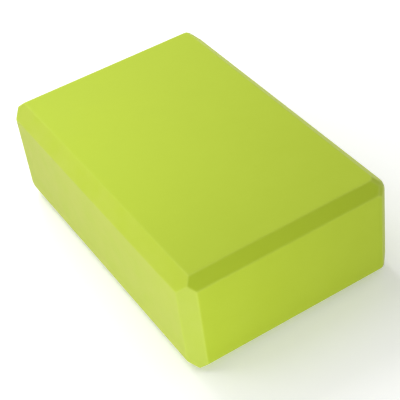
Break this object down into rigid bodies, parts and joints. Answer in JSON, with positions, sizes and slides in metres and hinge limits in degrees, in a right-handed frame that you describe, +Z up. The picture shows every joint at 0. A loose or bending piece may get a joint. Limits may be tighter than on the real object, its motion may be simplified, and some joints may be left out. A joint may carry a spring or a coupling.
{
  "type": "yoga block",
  "caption": "Firm foam block with flat faces and bevelled edges, set flat, on its side or on end under a hand, foot or hip to bring the floor closer in a pose.",
  "frame": {"origin": "on the floor, under the middle of the block as it lies flat", "axes": "+X along the length, +Y across the width, +Z up through the thickness"},
  "size_m": [0.23, 0.15, 0.075],
  "materials": {
    "eva_foam": "matte"
  },
  "bodies": {
    "root": {"foam_block": "eva_foam"}
  },
  "joints": []
}
